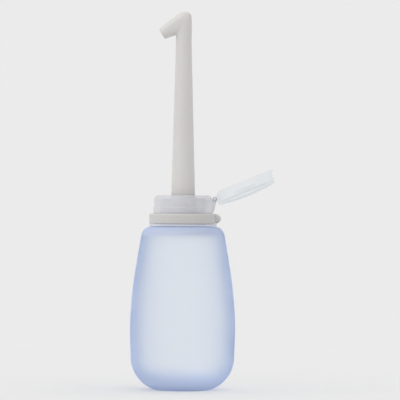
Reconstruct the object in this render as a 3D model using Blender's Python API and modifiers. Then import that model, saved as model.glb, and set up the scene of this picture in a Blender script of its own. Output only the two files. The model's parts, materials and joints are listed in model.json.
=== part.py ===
"""Squeeze wash bottle with a hooked spray nozzle, a screw collar and a hinged flip lid.

Metres, +Z up. The origin is the centre of the flat base. The nozzle's hook points along -X and
the lid's hinge stands on the +X side. Every separate piece is one object, and an empty stands on
each moving piece's joint axis.
"""

import math

import bmesh
import bpy
from mathutils import Matrix, Vector

MM = 0.001
OBJECT_NAME = "squeeze_wash_bottle"

# Fineness of the round pieces
ROUND_STEPS = 48
SMALL_STEPS = 32
BARREL_STEPS = 20
PIN_STEPS = 16
DRILL_STEPS = 8
ARC_STEPS = 4
MERGE = 0.00001

# Bottle: a lathe-turned soft shell. The base corner is part of an ellipse, the side is a smooth
# curve through the stations, and the shoulder is an arc.
BOTTLE_TOP = 117.0 * MM
BOTTLE_WALL = 3.0 * MM
BOTTLE_FLOOR = 3.5 * MM
MOUTH_R = 18.3 * MM
BASE_ELLIPSE_R = 14.2 * MM
BASE_ELLIPSE_Z = 24.0 * MM
BASE_ELLIPSE_A = 23.0 * MM
BASE_ELLIPSE_B = 24.6 * MM
BASE_STEPS = 5
SIDE_STATIONS = (
    (37.75 * MM, 42.0 * MM),
    (37.3 * MM, 56.0 * MM),
    (35.6 * MM, 75.0 * MM),
    (32.9 * MM, 93.0 * MM),
)
SIDE_TOP_R = 29.8 * MM
SHOULDER_R = 7.0 * MM
SHOULDER_TILT = math.radians(9.5)

# Neck ring: the rigid ring that grips the soft mouth and carries the outside thread
NECK_BORE_R = 16.4 * MM
NECK_BARREL_R = 20.2 * MM
NECK_TOP = 123.6 * MM
NECK_FLANGE_R = 24.2 * MM
NECK_FLANGE_Z = (117.3 * MM, 118.9 * MM)
NECK_SPIGOT_R = 17.9 * MM
NECK_BARB_R = 19.6 * MM
NECK_BARB_Z = 113.7 * MM
NECK_BARB_DEPTH = 1.0 * MM
NECK_BOTTOM = 111.5 * MM
GASKET_SEAT_R = 18.4 * MM
GASKET_SEAT_Z = 122.2 * MM

# Thread: a round bead on the barrel and another in the collar, which runs a lane below it
THREAD_PITCH = 3.2 * MM
THREAD_TURNS = 0.85
THREAD_BEAD_R = 0.75 * MM
THREAD_START_Z = 120.0 * MM
THREAD_LANE = 1.42 * MM
THREAD_POINTS_PER_TURN = 32

# Screw collar
COLLAR_R = 24.3 * MM
COLLAR_Z = (119.2 * MM, 126.4 * MM)
COLLAR_THREAD_R = 21.3 * MM
COLLAR_CHAMBER_R = 23.0 * MM
COLLAR_CHAMBER_Z = (123.6 * MM, 125.3 * MM)
COLLAR_LIP_R = 21.9 * MM
COLLAR_TOP_ROUND = 1.1 * MM
LUG_R = 3.3 * MM
LUG_REACH = 27.1 * MM
LUG_WIDTH = 13.0 * MM
LUG_ROUND = 2.0 * MM
LUG_ROOT_R = 23.6 * MM

# Cap: a thick clear-milky moulding with a socket for the nozzle
CAP_TOP = 139.6 * MM
CAP_LOWER_R = 21.5 * MM
CAP_UPPER_R = 20.9 * MM
CAP_LEDGE_Z = 131.0 * MM
CAP_SKIRT_Z = 126.8 * MM
CAP_NECK_R = 20.9 * MM
CAP_FLANGE_R = 22.7 * MM
CAP_FLANGE_Z = (123.9 * MM, 125.0 * MM)
CAP_CAVITY_R = 16.6 * MM
CAP_TOP_ROUND = 3.3 * MM
CAP_PLATE = 2.2 * MM
SOCKET_R = 8.2 * MM
SOCKET_WALL = 2.0 * MM
SOCKET_BOTTOM = 124.8 * MM
SEAT_R = 8.95 * MM
SEAT_Z = 137.0 * MM

# Lid and its hinge. Lid sizes are in the lid's own frame: U runs from the hinge axis across the
# lid, W runs towards its open side.
HINGE_X = 22.8 * MM
HINGE_Z = 137.0 * MM
LID_OPEN = math.radians(22.4)
LID_R = 22.0 * MM
LID_WALL = 0.8 * MM
LID_RIM_W = 4.5 * MM
LID_EDGE_W = -5.7 * MM
LID_CROWN_W = -7.3 * MM
LID_PLATE = 1.2 * MM
LID_EDGE_ROUND = 1.4 * MM
LINER_LEDGE_R = 20.3 * MM
LINER_LEDGE_W = -4.4 * MM
TAB_REACH = 1.4 * MM
TAB_WIDTH = 12.0 * MM
TAB_THICK = 2.2 * MM
TAB_DROP = 0.55 * MM
RIM_CUT_START = 0.5 * MM
RIM_CUT_LENGTH = 5.0 * MM
BARREL_R = 1.6 * MM
BARREL_HALF = 2.7 * MM
EAR_INSIDE = 3.0 * MM
EAR_THICK = 2.6 * MM
EAR_FOOT_Z = 127.3 * MM
EAR_FOOT_X = 22.0 * MM
EAR_ROOT_X = 19.6 * MM
PIN_R = 0.6 * MM
PIN_HOLE_R = 0.8 * MM
PIN_HEAD_R = 1.15 * MM
PIN_HEAD = 0.6 * MM
FIT_GAP = 0.3 * MM

# Lid seal: a soft liner disc across the lid, with a stopper for the empty nozzle socket
SEAL_DISC_R = 20.9 * MM
SEAL_DISC_W = (-4.1 * MM, -2.9 * MM)
SEAL_BOSS_R = 8.4 * MM
SEAL_BOSS_W = -0.4 * MM

# Nozzle: a tapered stem with a plug below and a hooked head above
STEM_FOOT_R = 8.56 * MM
STEM_FOOT_Z = 137.3 * MM
STEM_TOP_R = 5.52 * MM
STEM_TOP_Z = 250.0 * MM
STEM_RINGS = 6
PLUG_R = 7.9 * MM
PLUG_BOTTOM = 125.5 * MM
PLUG_CHAMFER = 0.6 * MM
GROOVE_R = 6.5 * MM
GROOVE_Z = (130.1 * MM, 132.0 * MM)
BORE_FOOT_R = 5.2 * MM
BORE_TOP_R = 3.4 * MM
BORE_TIP_R = 2.4 * MM
NOZZLE_SIDES = 32

# Head sections, each from its inside edge to its outside edge in the X-Z plane, with its
# half-width along Y and how square it is (2 is an ellipse)
HEAD_SECTIONS = (
    ((-5.60 * MM, 253.4 * MM), (5.70 * MM, 256.0 * MM), 5.6 * MM, 2.0),
    ((-5.65 * MM, 254.0 * MM), (5.70 * MM, 261.5 * MM), 5.6 * MM, 2.1),
    ((-5.75 * MM, 254.3 * MM), (5.50 * MM, 266.6 * MM), 5.6 * MM, 2.2),
    ((-5.90 * MM, 254.4 * MM), (4.60 * MM, 269.8 * MM), 5.5 * MM, 2.3),
    ((-6.15 * MM, 254.4 * MM), (2.60 * MM, 271.2 * MM), 5.5 * MM, 2.4),
    ((-6.50 * MM, 254.3 * MM), (0.00 * MM, 271.4 * MM), 5.5 * MM, 2.4),
    ((-7.10 * MM, 254.1 * MM), (-2.80 * MM, 270.3 * MM), 5.4 * MM, 2.4),
    ((-8.40 * MM, 253.7 * MM), (-6.70 * MM, 267.6 * MM), 5.2 * MM, 2.4),
    ((-10.6 * MM, 252.9 * MM), (-11.7 * MM, 263.8 * MM), 4.8 * MM, 2.3),
    ((-12.7 * MM, 252.1 * MM), (-15.9 * MM, 260.6 * MM), 4.5 * MM, 2.2),
    ((-13.8 * MM, 251.9 * MM), (-18.0 * MM, 258.8 * MM), 4.2 * MM, 2.0),
)
BORE_BEND = (
    (0.0 * MM, 256.5 * MM),
    (-0.5 * MM, 259.3 * MM),
    (-2.0 * MM, 261.4 * MM),
    (-4.4 * MM, 262.0 * MM),
)

# Spray plate in the nozzle's tip
PLATE_R = 2.9 * MM
PLATE_THICK = 1.2 * MM
PLATE_POCKET_R = 3.2 * MM
PLATE_POCKET = 1.6 * MM
SPRAY_HOLE_R = 0.38 * MM
SPRAY_RING_R = 1.75 * MM
SPRAY_HOLES = 6

# O-ring and gasket
O_RING_R = 7.4 * MM
O_RING_SECTION_R = 0.7 * MM
GASKET_R = (16.9 * MM, 18.1 * MM)
GASKET_Z = (122.5 * MM, 123.6 * MM)

# Past the faces that a cutter leaves through
OVERCUT = 2.0 * MM

# Drawn size of the empties on the joint axes
EMPTY_SIZE = 8.0 * MM


def clear_scene():
    """Removes every object that the file opened with."""
    for existing in list(bpy.data.objects):
        bpy.data.objects.remove(existing, do_unlink=True)


def new_collection(name):
    made = bpy.data.collections.new(name)
    bpy.context.scene.collection.children.link(made)
    return made


clear_scene()
PARTS = new_collection(OBJECT_NAME)
CUTTERS = new_collection(OBJECT_NAME + "_cutters")


def material(name, colour, roughness, transmission=0.0):
    """A Principled BSDF material."""
    made = bpy.data.materials.new(name)
    made.use_nodes = True
    shader = made.node_tree.nodes["Principled BSDF"]
    shader.inputs["Base Color"].default_value = (*colour, 1.0)
    shader.inputs["Roughness"].default_value = roughness
    shader.inputs["Transmission Weight"].default_value = transmission
    made.diffuse_color = (*colour, 1.0)
    return made


def add_object(name, data, collection=None):
    made = bpy.data.objects.new(name, data)
    (collection or PARTS).objects.link(made)
    return made


def as_tool(ob):
    """Marks an object that only shapes others."""
    ob.hide_render = True
    ob.display_type = "WIRE"
    return ob


def boolean(target, tool, operation):
    """Adds an exact Boolean with the tool, which keeps its place."""
    step = target.modifiers.new(tool.name, "BOOLEAN")
    step.operation = operation
    step.solver = "EXACT"
    step.object = tool
    return step


def cut(target, tool):
    return boolean(target, tool, "DIFFERENCE")


def join(target, tool):
    return boolean(target, tool, "UNION")


def turned(name, profile, closed, steps=ROUND_STEPS):
    """A turned shape: a profile of (radius, height) with a Screw modifier about Z."""
    mesh = bpy.data.meshes.new(name)
    points = [(radius, 0.0, height) for radius, height in profile]
    edges = [(i, i + 1) for i in range(len(points) - 1)]
    if closed:
        edges.append((len(points) - 1, 0))
    mesh.from_pydata(points, edges, [])
    ob = add_object(name, mesh)
    screw = ob.modifiers.new("turn", "SCREW")
    screw.axis = "Z"
    screw.angle = 2 * math.pi
    screw.steps = steps
    screw.render_steps = steps
    screw.use_merge_vertices = True
    screw.merge_threshold = MERGE
    screw.use_smooth_shade = True
    return ob


def arc(centre, radius, start, end, steps=ARC_STEPS):
    """Points of an arc in a turned profile, from one angle to another in degrees."""
    points = []
    for i in range(steps + 1):
        angle = math.radians(start + (end - start) * i / steps)
        points.append((centre[0] + radius * math.cos(angle), centre[1] + radius * math.sin(angle)))
    return points


def cylinder(name, radius, depth, matrix, steps=SMALL_STEPS, collection=None):
    """A solid cylinder along its own Z, centred on the matrix."""
    mesh = bpy.data.meshes.new(name)
    shape = bmesh.new()
    bmesh.ops.create_cone(
        shape, cap_ends=True, segments=steps, radius1=radius, radius2=radius, depth=depth
    )
    shape.to_mesh(mesh)
    shape.free()
    ob = add_object(name, mesh, collection)
    ob.matrix_world = matrix
    return ob


def mesh_from_curve(ob):
    """Turns a curve object into a closed mesh object in the same place."""
    graph = bpy.context.evaluated_depsgraph_get()
    mesh = bpy.data.meshes.new_from_object(ob.evaluated_get(graph))
    welded = bmesh.new()
    welded.from_mesh(mesh)
    bmesh.ops.remove_doubles(welded, verts=welded.verts, dist=MERGE)
    bmesh.ops.recalc_face_normals(welded, faces=welded.faces)
    welded.to_mesh(mesh)
    welded.free()
    made = bpy.data.objects.new(ob.name + "_solid", mesh)
    ob.users_collection[0].objects.link(made)
    made.matrix_world = ob.matrix_world
    bpy.data.objects.remove(ob, do_unlink=True)
    return made


def rod(name, points, radii, resolution=2):
    """A solid rod along points, with a radius at each, as a closed mesh among the cutters."""
    curve = bpy.data.curves.new(name, "CURVE")
    curve.dimensions = "3D"
    curve.bevel_depth = 1.0
    curve.bevel_resolution = resolution
    curve.use_fill_caps = True
    spline = curve.splines.new("POLY")
    spline.points.add(len(points) - 1)
    for place, point, radius in zip(spline.points, points, radii):
        place.co = (*point, 1.0)
        place.radius = radius
    ob = add_object(name, curve, CUTTERS)
    return mesh_from_curve(ob)


def extruded(name, outline, thickness):
    """A flat (X, Z) outline with thickness along Y, as a closed mesh among the cutters."""
    curve = bpy.data.curves.new(name, "CURVE")
    curve.dimensions = "2D"
    curve.fill_mode = "BOTH"
    curve.extrude = thickness / 2
    spline = curve.splines.new("POLY")
    spline.points.add(len(outline) - 1)
    for place, (across, up) in zip(spline.points, outline):
        place.co = (across, up, 0.0, 1.0)
    spline.use_cyclic_u = True
    ob = add_object(name, curve, CUTTERS)
    ob.rotation_euler = (math.pi / 2, 0.0, 0.0)
    bpy.context.view_layer.update()
    return mesh_from_curve(ob)


def loft(name, rings):
    """A closed solid through rings of equally many points, with its two ends filled."""
    mesh = bpy.data.meshes.new(name)
    shape = bmesh.new()
    rows = [[shape.verts.new(point) for point in ring] for ring in rings]
    count = len(rows[0])
    for lower, upper in zip(rows, rows[1:]):
        for i in range(count):
            j = (i + 1) % count
            shape.faces.new((lower[i], lower[j], upper[j], upper[i]))
    shape.faces.new(reversed(rows[0]))
    shape.faces.new(rows[-1])
    bmesh.ops.recalc_face_normals(shape, faces=shape.faces)
    for face in shape.faces:
        face.smooth = True
    shape.to_mesh(mesh)
    shape.free()
    return add_object(name, mesh)


def along_y(x, y, z):
    """A matrix that stands a cylinder along Y at a point."""
    return Matrix.Translation((x, y, z)) @ Matrix.Rotation(math.pi / 2, 4, "X")


# Bottle


def smooth_through(points, steps=2):
    """A smooth curve through points, as Catmull-Rom spans of so many steps each."""
    ends = [points[0]] + list(points) + [points[-1]]
    found = []
    for before, start, end, after in zip(ends, ends[1:], ends[2:], ends[3:]):
        for i in range(steps):
            t = i / steps
            found.append(
                tuple(
                    0.5
                    * (
                        2 * start[k]
                        + (end[k] - before[k]) * t
                        + (2 * before[k] - 5 * start[k] + 4 * end[k] - after[k]) * t**2
                        + (3 * start[k] - before[k] - 3 * end[k] + after[k]) * t**3
                    )
                    for k in range(2)
                )
            )
    found.append(points[-1])
    return found


def bottle_outline():
    """The bottle's outside from the edge of its flat base up to the flat round its mouth."""
    lowest = math.acos(BASE_ELLIPSE_Z / BASE_ELLIPSE_B)
    corner = []
    for i in range(BASE_STEPS + 1):
        turn = lowest + (math.pi / 2 - lowest) * i / BASE_STEPS
        corner.append(
            (
                BASE_ELLIPSE_R + BASE_ELLIPSE_A * math.sin(turn),
                BASE_ELLIPSE_Z - BASE_ELLIPSE_B * math.cos(turn),
            )
        )
    centre = (SIDE_TOP_R - SHOULDER_R * math.cos(SHOULDER_TILT), BOTTLE_TOP - SHOULDER_R)
    shoulder = arc(centre, SHOULDER_R, math.degrees(SHOULDER_TILT), 90.0, 4)
    side = smooth_through([corner[-1], *SIDE_STATIONS, shoulder[0]])
    return corner[:-1] + side + shoulder[1:]


def inset(outline, depth):
    """The outline moved inwards, square to itself."""
    found = []
    last = len(outline) - 1
    for i, (radius, height) in enumerate(outline):
        before = outline[max(i - 1, 0)]
        after = outline[min(i + 1, last)]
        run = Vector((after[0] - before[0], after[1] - before[1])).normalized()
        found.append((radius - run.y * depth, height + run.x * depth))
    return found


def make_bottle(finish):
    """The soft bottle, hollow, with a flat base and an open mouth."""
    outside = bottle_outline()
    inside = [p for p in inset(outside, BOTTLE_WALL) if p[1] > BOTTLE_FLOOR and p[0] > MOUTH_R]
    floor_edge = (BASE_ELLIPSE_R, BOTTLE_FLOOR)
    mouth = [(MOUTH_R, BOTTLE_TOP - BOTTLE_WALL), (MOUTH_R, BOTTLE_TOP)]
    profile = [(0.0, BOTTLE_FLOOR), floor_edge, *inside, *mouth]
    profile += list(reversed(outside))
    profile.append((0.0, 0.0))
    bottle = turned("bottle_body", profile, closed=False)
    bottle.data.materials.append(finish)
    return bottle


# Neck ring, collar and thread


def thread_bead(name, radius, lane_below=0.0):
    """A round bead wound on a cylinder, as a Boolean tool."""
    count = round(THREAD_TURNS * THREAD_POINTS_PER_TURN)
    start = 2 * math.pi * lane_below / THREAD_PITCH
    points = []
    for i in range(count + 1):
        turn = start + 2 * math.pi * i / THREAD_POINTS_PER_TURN
        rise = THREAD_PITCH * i / THREAD_POINTS_PER_TURN
        points.append((radius * math.cos(turn), radius * math.sin(turn), THREAD_START_Z + rise))
    bead = rod(name, points, [THREAD_BEAD_R] * len(points))
    return as_tool(bead)


def make_neck_ring(finish):
    """The threaded ring that clips into the bottle's mouth."""
    low, high = NECK_FLANGE_Z
    edge = 0.4 * MM
    profile = [
        (NECK_BARREL_R, NECK_TOP),
        (NECK_BARREL_R, high),
        (NECK_FLANGE_R - edge, high),
        (NECK_FLANGE_R, high - edge),
        (NECK_FLANGE_R, low),
        (NECK_SPIGOT_R, low),
        (NECK_SPIGOT_R, NECK_BARB_Z),
        (NECK_BARB_R, NECK_BARB_Z),
        (NECK_BARB_R, NECK_BARB_Z - NECK_BARB_DEPTH),
        (NECK_SPIGOT_R - edge, NECK_BOTTOM),
        (NECK_BORE_R, NECK_BOTTOM),
        (NECK_BORE_R, GASKET_SEAT_Z),
        (GASKET_SEAT_R, GASKET_SEAT_Z),
        (GASKET_SEAT_R, NECK_TOP),
    ]
    ring = turned("neck_ring", profile, closed=True)
    ring.data.materials.append(finish)
    join(ring, thread_bead("neck_thread", NECK_BARREL_R))
    return ring


def make_collar(finish):
    """The screw collar, with its inside thread, the lip over the cap's flange and the lug."""
    low, high = COLLAR_Z
    chamber_low, chamber_high = COLLAR_CHAMBER_Z
    edge = 0.4 * MM
    rounded = arc(
        (COLLAR_R - COLLAR_TOP_ROUND, high - COLLAR_TOP_ROUND), COLLAR_TOP_ROUND, 90.0, 0.0, 3
    )
    profile = [
        *rounded,
        (COLLAR_R, low + edge),
        (COLLAR_R - edge, low),
        (COLLAR_THREAD_R, low),
        (COLLAR_THREAD_R, chamber_low),
        (COLLAR_CHAMBER_R, chamber_low),
        (COLLAR_CHAMBER_R, chamber_high),
        (COLLAR_LIP_R, chamber_high),
        (COLLAR_LIP_R, high),
    ]
    collar = turned("screw_collar", profile, closed=True)
    collar.data.materials.append(finish)
    join(collar, thread_bead("collar_thread", COLLAR_THREAD_R, THREAD_LANE))

    middle = (low + high) / 2
    place = along_y(LUG_REACH - LUG_R, 0.0, middle)
    lug = cylinder("lug", LUG_R, LUG_WIDTH, place, BARREL_STEPS, CUTTERS)
    bevel = lug.modifiers.new("round_ends", "BEVEL")
    bevel.width = LUG_ROUND
    bevel.segments = 3
    bevel.limit_method = "ANGLE"
    bevel.angle_limit = math.radians(60)
    inside = cylinder(
        "lug_root_cutter",
        LUG_ROOT_R,
        4 * LUG_R,
        Matrix.Translation((0.0, 0.0, middle)),
        ROUND_STEPS,
        CUTTERS,
    )
    cut(lug, as_tool(inside))
    join(collar, as_tool(lug))
    return collar


def make_gasket(finish):
    """The soft washer in the neck ring's seat, pressed by the cap's flange."""
    low, high = GASKET_Z
    inner, outer = GASKET_R
    profile = [(outer, high), (outer, low), (inner, low), (inner, high)]
    gasket = turned("neck_gasket", profile, closed=True)
    gasket.data.materials.append(finish)
    return gasket


# Cap


def ear_outline():
    """A hinge ear's side view: round over the hinge axis, tapering down the cap's wall."""
    top = arc((HINGE_X, HINGE_Z), BARREL_R, -20.0, 180.0, 8)
    return [(EAR_FOOT_X, EAR_FOOT_Z), *top, (EAR_ROOT_X, HINGE_Z), (EAR_ROOT_X, EAR_FOOT_Z)]


def make_cap(finish):
    """The cap: flange, skirt, ledge for the lid's rim, nozzle socket and two hinge ears."""
    flange_low, flange_high = CAP_FLANGE_Z
    edge = 0.5 * MM
    under_plate = CAP_TOP - CAP_PLATE
    rounded = arc(
        (CAP_UPPER_R - CAP_TOP_ROUND, CAP_TOP - CAP_TOP_ROUND), CAP_TOP_ROUND, 90.0, 0.0, 4
    )
    profile = [
        (SEAT_R, CAP_TOP),
        *rounded,
        (CAP_UPPER_R, CAP_LEDGE_Z + edge / 2),
        (CAP_LOWER_R - edge / 2, CAP_LEDGE_Z),
        (CAP_LOWER_R, CAP_LEDGE_Z - edge / 2),
        (CAP_LOWER_R, CAP_SKIRT_Z + edge),
        (CAP_LOWER_R - edge, CAP_SKIRT_Z),
        (CAP_NECK_R, CAP_SKIRT_Z),
        (CAP_NECK_R, flange_high),
        (CAP_FLANGE_R, flange_high),
        (CAP_FLANGE_R, flange_low),
        (CAP_CAVITY_R, flange_low),
        (CAP_CAVITY_R, under_plate),
        (SOCKET_R + SOCKET_WALL, under_plate),
        (SOCKET_R + SOCKET_WALL, SOCKET_BOTTOM),
        (SOCKET_R, SOCKET_BOTTOM),
        (SOCKET_R, SEAT_Z),
        (SEAT_R, SEAT_Z),
    ]
    cap = turned("cap_body", profile, closed=True)
    cap.data.materials.append(finish)
    for side, way in (("left", 1.0), ("right", -1.0)):
        ear = extruded("ear_" + side, ear_outline(), EAR_THICK)
        ear.location.y = way * (EAR_INSIDE + EAR_THICK / 2)
        join(cap, as_tool(ear))
    length = 2 * (EAR_INSIDE + EAR_THICK) + OVERCUT
    place = along_y(HINGE_X, 0.0, HINGE_Z)
    hole = cylinder("ear_hole_cutter", PIN_HOLE_R, length, place, PIN_STEPS, CUTTERS)
    cut(cap, as_tool(hole))
    return cap


def make_pin(finish):
    """The hinge pin, with a small head outside one ear."""
    half = EAR_INSIDE + EAR_THICK
    head_at = half + FIT_GAP / 2
    profile = [
        (0.0, head_at + PIN_HEAD),
        (PIN_HEAD_R, head_at + PIN_HEAD),
        (PIN_HEAD_R, head_at),
        (PIN_R, head_at),
        (PIN_R, -half),
        (0.0, -half),
    ]
    pin = turned("lid_hinge_pin", profile, closed=False, steps=PIN_STEPS)
    pin.matrix_world = along_y(HINGE_X, 0.0, HINGE_Z)
    pin.data.materials.append(finish)
    return pin


# Lid. Its parts are turned about the lid's own axis, W, and then stood at the hinge.


def lid_frame():
    """The lid's frame at rest: its X is U, its Z is W, and its origin is the hinge axis."""
    place = Matrix.Translation((HINGE_X, 0.0, HINGE_Z))
    return place @ Matrix.Rotation(-LID_OPEN, 4, "Y")


def dome(radius, crown, edge, edge_radius):
    """The height of a shallow parabolic dome at a radius."""
    return crown + (edge - crown) * (radius / edge_radius) ** 2


def make_lid(finish):
    """The flip lid: a domed cup with a thumb tab, a hinge barrel and a ledge for its liner."""
    inner_r = LID_R - LID_WALL
    crown_in = LID_CROWN_W + LID_PLATE
    edge_in = LID_EDGE_W + LID_PLATE
    corner = LID_R - LID_EDGE_ROUND
    parts_of_radius = (0.3, 0.6, 0.85)
    inside = [(0.0, crown_in)]
    for part in (*parts_of_radius, 1.0):
        radius = part * LINER_LEDGE_R
        inside.append((radius, dome(radius, crown_in, edge_in, LINER_LEDGE_R)))
    ledge = [(LINER_LEDGE_R, LINER_LEDGE_W), (inner_r, LINER_LEDGE_W)]
    rim = [(inner_r, LID_RIM_W), (LID_R, LID_RIM_W)]
    side = arc((corner, LID_EDGE_W + LID_EDGE_ROUND), LID_EDGE_ROUND, 0.0, -80.0, 3)
    back = []
    for part in reversed(parts_of_radius):
        radius = part * side[-1][0]
        back.append((radius, dome(radius, LID_CROWN_W, side[-1][1], side[-1][0])))
    profile = [*inside, *ledge, *rim, *side, *back, (0.0, LID_CROWN_W)]
    lid = turned("flip_lid", profile, closed=False)
    lid.data.materials.append(finish)
    frame = lid_frame()
    lid.matrix_world = frame @ Matrix.Translation((HINGE_X, 0.0, 0.0))

    slope = (LID_RIM_W - RIM_CUT_START) / RIM_CUT_LENGTH
    slant = [
        (-OVERCUT, RIM_CUT_START - slope * OVERCUT),
        (RIM_CUT_LENGTH, LID_RIM_W),
        (RIM_CUT_LENGTH, LID_RIM_W + OVERCUT),
        (-OVERCUT, LID_RIM_W + OVERCUT),
    ]
    rim_cutter = extruded("lid_rim_cutter", slant, 2 * LID_R)
    rim_cutter.matrix_world = frame @ Matrix.Rotation(math.pi / 2, 4, "X")
    cut(lid, as_tool(rim_cutter))

    axis = frame @ along_y(0.0, 0.0, 0.0)
    barrel_length = 2 * BARREL_HALF + OVERCUT
    barrel = cylinder("lid_barrel", BARREL_R, barrel_length, axis, BARREL_STEPS, CUTTERS)
    join(lid, as_tool(barrel))

    for side_name, way in (("left", 1.0), ("right", -1.0)):
        pocket_low = BARREL_HALF
        pocket_high = EAR_INSIDE + EAR_THICK + PIN_HEAD + 2 * FIT_GAP
        middle = way * (pocket_low + pocket_high) / 2
        pocket = cylinder(
            "lid_pocket_" + side_name,
            BARREL_R + FIT_GAP,
            pocket_high - pocket_low,
            frame @ along_y(0.0, middle, 0.0),
            BARREL_STEPS,
            CUTTERS,
        )
        cut(lid, as_tool(pocket))

    hole = cylinder("lid_hole_cutter", PIN_HOLE_R, barrel_length, axis, PIN_STEPS, CUTTERS)
    cut(lid, as_tool(hole))

    tab_top = LID_RIM_W - TAB_DROP
    tab_root = LID_R - 2 * LID_WALL
    tab_outline = [
        (tab_root, tab_top - TAB_THICK),
        (LID_R + TAB_REACH, tab_top - TAB_THICK / 2),
        (LID_R + TAB_REACH, tab_top),
        (tab_root, tab_top),
    ]
    centre = frame @ Matrix.Translation((HINGE_X, 0.0, 0.0))
    tab = extruded("lid_tab", tab_outline, TAB_WIDTH)
    tab.matrix_world = centre @ Matrix.Rotation(math.pi / 2, 4, "X")
    tab_inside = cylinder(
        "lid_tab_root_cutter", LID_R - LID_WALL / 2, 4 * LID_RIM_W, centre, ROUND_STEPS, CUTTERS
    )
    cut(tab, as_tool(tab_inside))
    join(lid, as_tool(tab))
    return lid


def make_lid_seal(finish):
    """The soft liner disc in the lid, with its stopper."""
    back, front = SEAL_DISC_W
    chamfer = 0.4 * MM
    profile = [
        (0.0, SEAL_BOSS_W),
        (SEAL_BOSS_R - chamfer, SEAL_BOSS_W),
        (SEAL_BOSS_R, SEAL_BOSS_W - chamfer),
        (SEAL_BOSS_R, front),
        (SEAL_DISC_R, front),
        (SEAL_DISC_R, back),
        (0.0, back),
    ]
    seal = turned("lid_seal", profile, closed=False, steps=SMALL_STEPS)
    seal.matrix_world = lid_frame() @ Matrix.Translation((HINGE_X, 0.0, 0.0))
    seal.data.materials.append(finish)
    return seal


# Nozzle


def round_ring(radius, height):
    """A level ring of points round the Z axis."""
    return [
        Vector(
            (
                radius * math.cos(2 * math.pi * i / NOZZLE_SIDES),
                radius * math.sin(2 * math.pi * i / NOZZLE_SIDES),
                height,
            )
        )
        for i in range(NOZZLE_SIDES)
    ]


def head_ring(inside_edge, outside_edge, half_width, squareness):
    """A ring between two edge points in the X-Z plane, as a superellipse."""
    low = Vector((inside_edge[0], 0.0, inside_edge[1]))
    high = Vector((outside_edge[0], 0.0, outside_edge[1]))
    centre = (low + high) / 2
    reach = (high - low) / 2
    ring = []
    for i in range(NOZZLE_SIDES):
        turn = 2 * math.pi * i / NOZZLE_SIDES
        across = math.copysign(abs(math.cos(turn)) ** (2 / squareness), math.cos(turn))
        aside = math.copysign(abs(math.sin(turn)) ** (2 / squareness), math.sin(turn))
        ring.append(centre + reach * across + Vector((0.0, half_width * aside, 0.0)))
    return ring


def tip_frame():
    """A frame in the middle of the tip's flat end, with Z pointing out along the jet."""
    inside_edge, outside_edge = HEAD_SECTIONS[-1][:2]
    low = Vector((inside_edge[0], 0.0, inside_edge[1]))
    high = Vector((outside_edge[0], 0.0, outside_edge[1]))
    up = (high - low).normalized()
    side = Vector((0.0, 1.0, 0.0))
    out = up.cross(side).normalized()
    if out.x > 0:
        out = -out
    turn = Matrix((side.cross(out), side, out)).transposed().to_4x4()
    return Matrix.Translation((low + high) / 2) @ turn


def make_nozzle(finish):
    """The nozzle: plug, tapered stem and hooked head, with one passage through it all."""
    groove_low, groove_high = GROOVE_Z
    plug = [
        (PLUG_R - PLUG_CHAMFER, PLUG_BOTTOM),
        (PLUG_R, PLUG_BOTTOM + PLUG_CHAMFER),
        (PLUG_R, groove_low),
        (GROOVE_R, groove_low),
        (GROOVE_R, groove_high),
        (PLUG_R, groove_high),
        (PLUG_R, STEM_FOOT_Z),
    ]
    stem = []
    for i in range(STEM_RINGS + 1):
        part = i / STEM_RINGS
        radius = STEM_FOOT_R + (STEM_TOP_R - STEM_FOOT_R) * part
        stem.append((radius, STEM_FOOT_Z + (STEM_TOP_Z - STEM_FOOT_Z) * part))
    rings = [round_ring(radius, height) for radius, height in plug + stem]
    rings += [head_ring(*section) for section in HEAD_SECTIONS]
    nozzle = loft("nozzle_tube", rings)
    nozzle.data.materials.append(finish)

    tip = tip_frame()
    bend = [(x, 0.0, z) for x, z in BORE_BEND]
    past_tip = tip @ Vector((0.0, 0.0, OVERCUT))
    points = [(0.0, 0.0, PLUG_BOTTOM - OVERCUT), (0.0, 0.0, STEM_TOP_Z), *bend, tuple(past_tip)]
    radii = [BORE_FOOT_R, BORE_TOP_R] + [BORE_TOP_R] * len(bend) + [BORE_TIP_R]
    passage = rod("nozzle_passage_cutter", points, radii, resolution=5)
    cut(nozzle, as_tool(passage))

    pocket = cylinder(
        "plate_pocket_cutter",
        PLATE_POCKET_R,
        PLATE_POCKET + OVERCUT,
        tip @ Matrix.Translation((0.0, 0.0, (OVERCUT - PLATE_POCKET) / 2)),
        BARREL_STEPS,
        CUTTERS,
    )
    cut(nozzle, as_tool(pocket))
    return nozzle


def make_spray_plate(finish):
    """The plate in the nozzle's tip, with a ring of small holes round a middle one."""
    tip = tip_frame()
    place = tip @ Matrix.Translation((0.0, 0.0, -PLATE_THICK / 2))
    plate = cylinder("spray_plate", PLATE_R, PLATE_THICK, place, BARREL_STEPS)
    plate.data.materials.append(finish)
    spots = [(0.0, 0.0)]
    for i in range(SPRAY_HOLES):
        turn = 2 * math.pi * i / SPRAY_HOLES
        spots.append((SPRAY_RING_R * math.cos(turn), SPRAY_RING_R * math.sin(turn)))
    for i, (x, y) in enumerate(spots):
        drill = cylinder(
            f"spray_hole_{i}",
            SPRAY_HOLE_R,
            PLATE_THICK + OVERCUT,
            place @ Matrix.Translation((x, y, 0.0)),
            DRILL_STEPS,
            CUTTERS,
        )
        cut(plate, as_tool(drill))
    return plate


def make_o_ring(finish):
    """The O-ring in the plug's groove."""
    height = (GROOVE_Z[0] + GROOVE_Z[1]) / 2
    profile = arc((O_RING_R, height), O_RING_SECTION_R, 90.0, -270.0, 8)[:-1]
    ring = turned("nozzle_o_ring", profile, closed=True, steps=SMALL_STEPS)
    ring.data.materials.append(finish)
    return ring


# Assembly


def set_parent(child, parent):
    """Parents an object and leaves it where it stands."""
    child.parent = parent
    child.matrix_parent_inverse = parent.matrix_world.inverted()


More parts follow.
